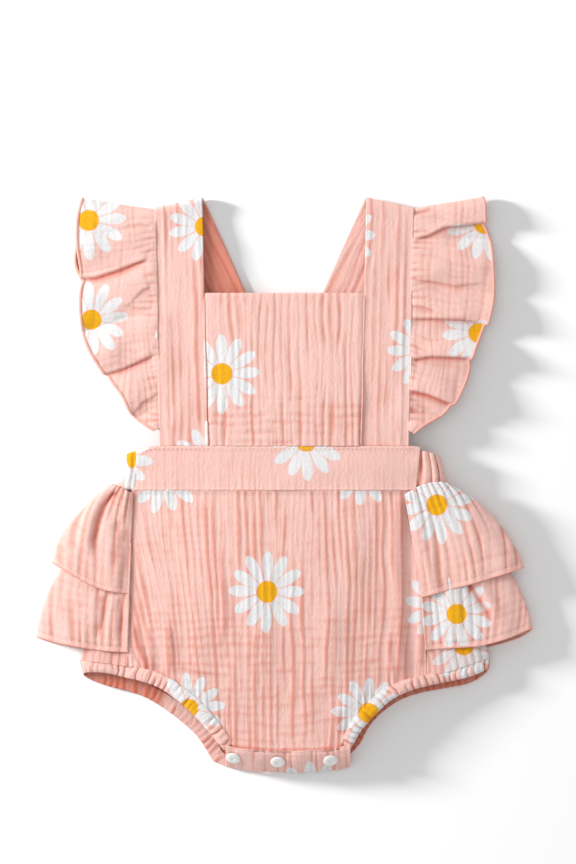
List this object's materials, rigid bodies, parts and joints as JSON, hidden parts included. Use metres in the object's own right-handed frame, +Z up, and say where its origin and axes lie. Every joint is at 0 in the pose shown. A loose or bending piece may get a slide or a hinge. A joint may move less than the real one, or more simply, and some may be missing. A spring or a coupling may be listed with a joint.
{
  "type": "baby romper with flutter straps, laid flat",
  "caption": "Sleeveless baby romper in crinkled double gauze with bib, crossed straps, flutter ruffles, tiered hip ruffles, elastic legs and a snapped crotch.",
  "frame": {"origin": "middle of the laid-out garment's outline, on the surface it lies on", "axes": "+Z up out of the front of the garment, +Y towards the shoulders, +X to the right of the picture, which is the wearer's left"},
  "size_m": [0.3517, 0.4153, 0.0191],
  "materials": {
    "gauze": "crinkled cotton double gauze in coral pink, printed with white daisies",
    "snap_white": "moulded white plastic press snap"
  },
  "bodies": {
    "root": {"bib_centre": "gauze", "strap_left": "gauze", "strap_right": "gauze", "flutter_left": "gauze", "flutter_right": "gauze", "waistband_front": "gauze", "waistband_back": "gauze", "body_front": "gauze", "body_back": "gauze", "leg_band_left": "gauze", "leg_band_right": "gauze", "crotch_placket_front": "gauze", "crotch_placket_back": "gauze", "hip_ruffle_upper": "gauze", "hip_ruffle_lower": "gauze", "snap_cap_left": "snap_white", "snap_press_left": "snap_white", "snap_ring_left": "snap_white", "snap_cap_centre": "snap_white", "snap_press_centre": "snap_white", "snap_ring_centre": "snap_white", "snap_cap_right": "snap_white", "snap_press_right": "snap_white", "snap_ring_right": "snap_white"}
  },
  "joints": []
}
